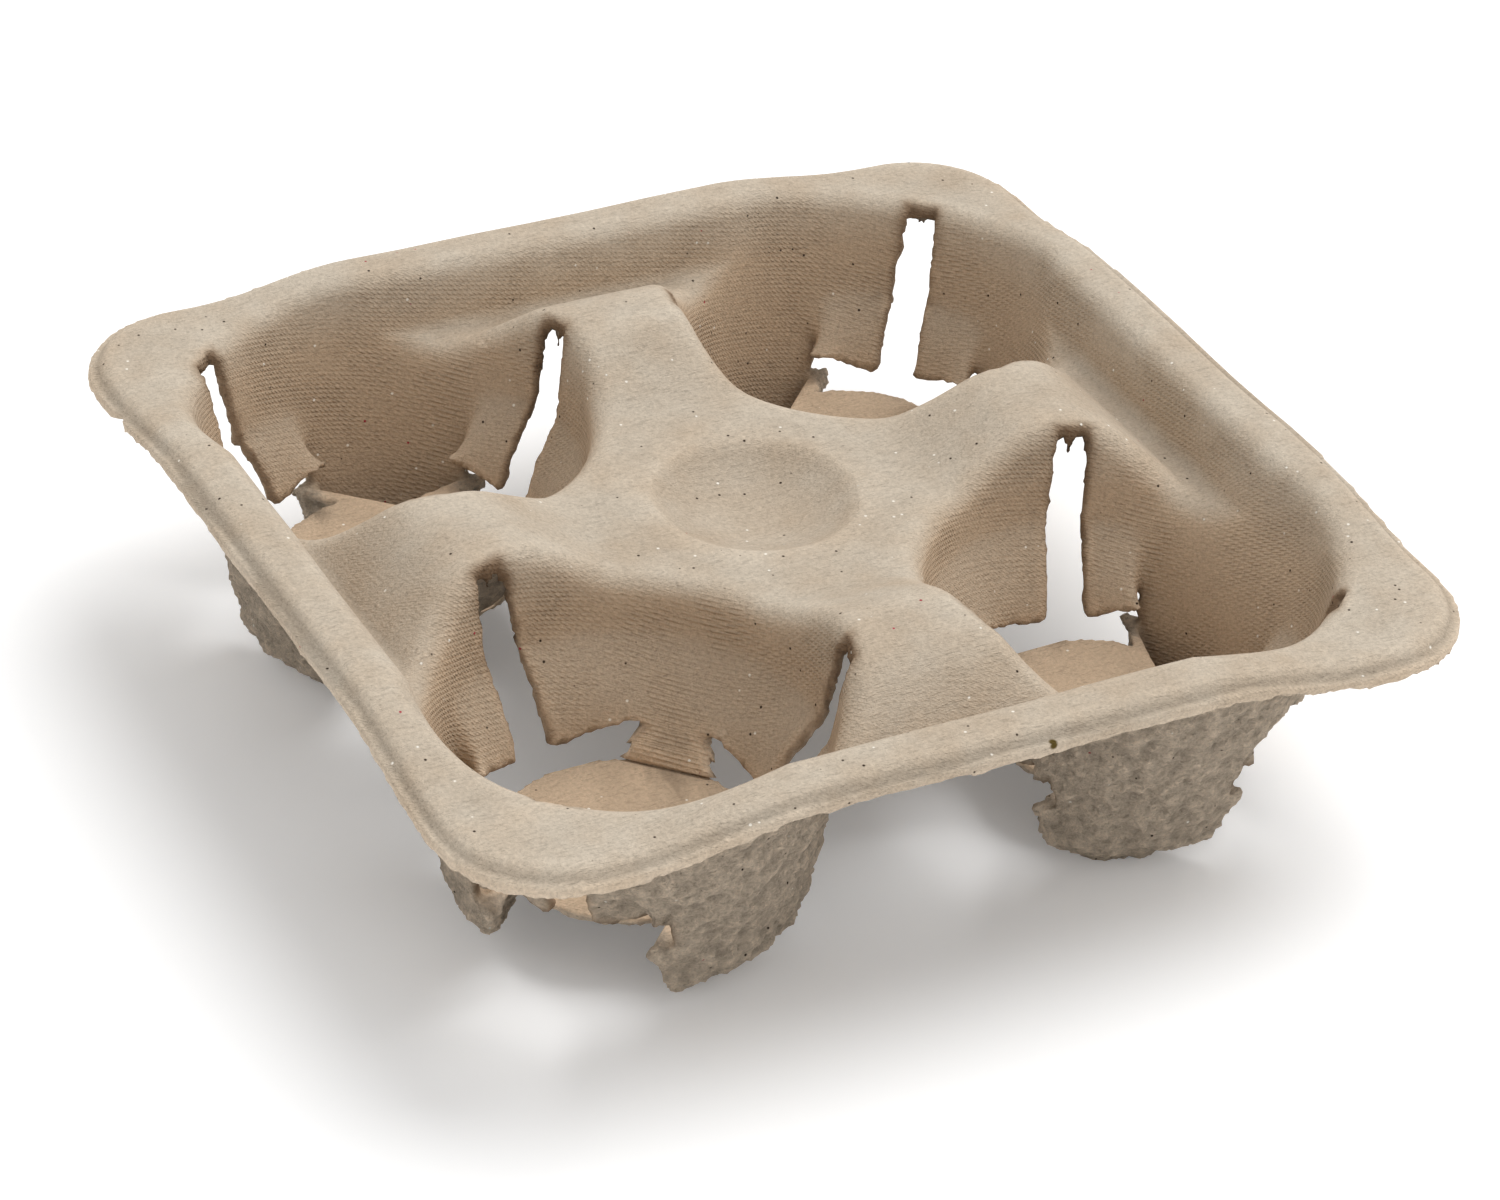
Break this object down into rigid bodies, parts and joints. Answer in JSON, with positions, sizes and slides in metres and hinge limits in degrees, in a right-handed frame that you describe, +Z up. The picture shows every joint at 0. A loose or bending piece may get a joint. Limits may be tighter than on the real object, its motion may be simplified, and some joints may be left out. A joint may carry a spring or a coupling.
{
  "type": "moulded pulp cup carrier tray",
  "caption": "Square cup carrier tray moulded from paper pulp, with slotted cup pockets on hollow feet, an arched rolled rim and a dimpled middle",
  "frame": {"origin": "middle of the tray on the surface that its feet stand on", "axes": "+Z up; X and Y along the two pairs of sides, the corner nearest to the camera at -X -Y"},
  "size_m": [0.216, 0.216, 0.0606],
  "materials": {
    "pulp": "matt moulded paper pulp, unprinted"
  },
  "bodies": {
    "root": {"cup_tray": "pulp"}
  },
  "joints": []
}
